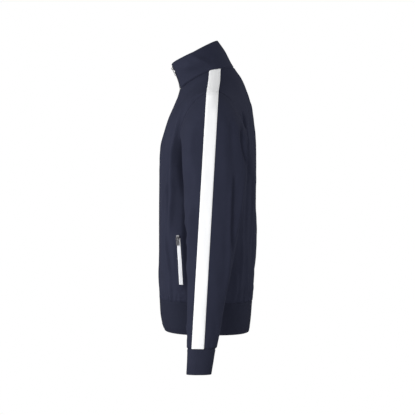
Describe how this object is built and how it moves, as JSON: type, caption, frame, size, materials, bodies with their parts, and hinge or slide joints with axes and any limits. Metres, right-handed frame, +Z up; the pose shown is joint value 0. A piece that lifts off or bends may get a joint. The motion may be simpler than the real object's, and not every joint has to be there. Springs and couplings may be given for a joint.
{
  "type": "zip-up track jacket sweatshirt",
  "caption": "Long-sleeved zip-up sweatshirt with a stand collar, shoulder-to-cuff stripes, zipped side pockets, hem band and cuffs, held open as if worn.",
  "frame": {"origin": "middle of the neck opening, level with the collar seam beside the neck, where the wearer's neck stands", "axes": "-Y is the garment's front, +X is the wearer's left, +Z is up"},
  "size_m": [0.649, 0.2428, 0.7975],
  "materials": {
    "navy_cloth": "fine smooth knit",
    "navy_band": "doubled knit",
    "white_stripe": "smooth woven tape",
    "dark_zip": "satin",
    "white_zip": "woven tape with a plastic coil",
    "grey_metal": "dark satin"
  },
  "bodies": {
    "root": {"front_left": "navy_cloth", "front_right": "navy_cloth", "back": "navy_cloth", "sleeve_left": "navy_cloth", "sleeve_right": "navy_cloth", "collar": "navy_cloth", "hem_band": "navy_band", "cuff_left": "navy_band", "cuff_right": "navy_band", "stripe_shoulder_left": "white_stripe", "stripe_shoulder_right": "white_stripe", "stripe_sleeve_left": "white_stripe", "stripe_sleeve_right": "white_stripe", "pocket_zip_left": "white_zip", "pocket_zip_right": "white_zip", "pocket_slider_left": "grey_metal", "pocket_slider_right": "grey_metal", "zip_tape_left": "dark_zip", "zip_tape_right": "dark_zip", "zip_chain": "dark_zip", "zip_box": "dark_zip", "zip_slider": "grey_metal"},
    "front_zip_tab": {"zip_pull": "grey_metal"},
    "left_pocket_tab": {"pocket_pull_left": "grey_metal"},
    "right_pocket_tab": {"pocket_pull_right": "grey_metal"}
  },
  "joints": [
    {"name": "front_zip_tab_swing", "type": "hinge", "parent": "root", "child": "front_zip_tab", "pos_m": [0, -0.08807, 0.02709], "axis": [-1, 0, 0], "range_deg": [0, 150]},
    {"name": "left_pocket_tab_swing", "type": "hinge", "parent": "root", "child": "left_pocket_tab", "pos_m": [0.18502, -0.07158, -0.39052], "axis": [-0.5746, -0.815, -0.0747], "range_deg": [0, 150]},
    {"name": "right_pocket_tab_swing", "type": "hinge", "parent": "root", "child": "right_pocket_tab", "pos_m": [-0.1852, -0.07209, -0.39064], "axis": [-0.6068, 0.7909, 0.0792], "range_deg": [0, 150]}
  ]
}
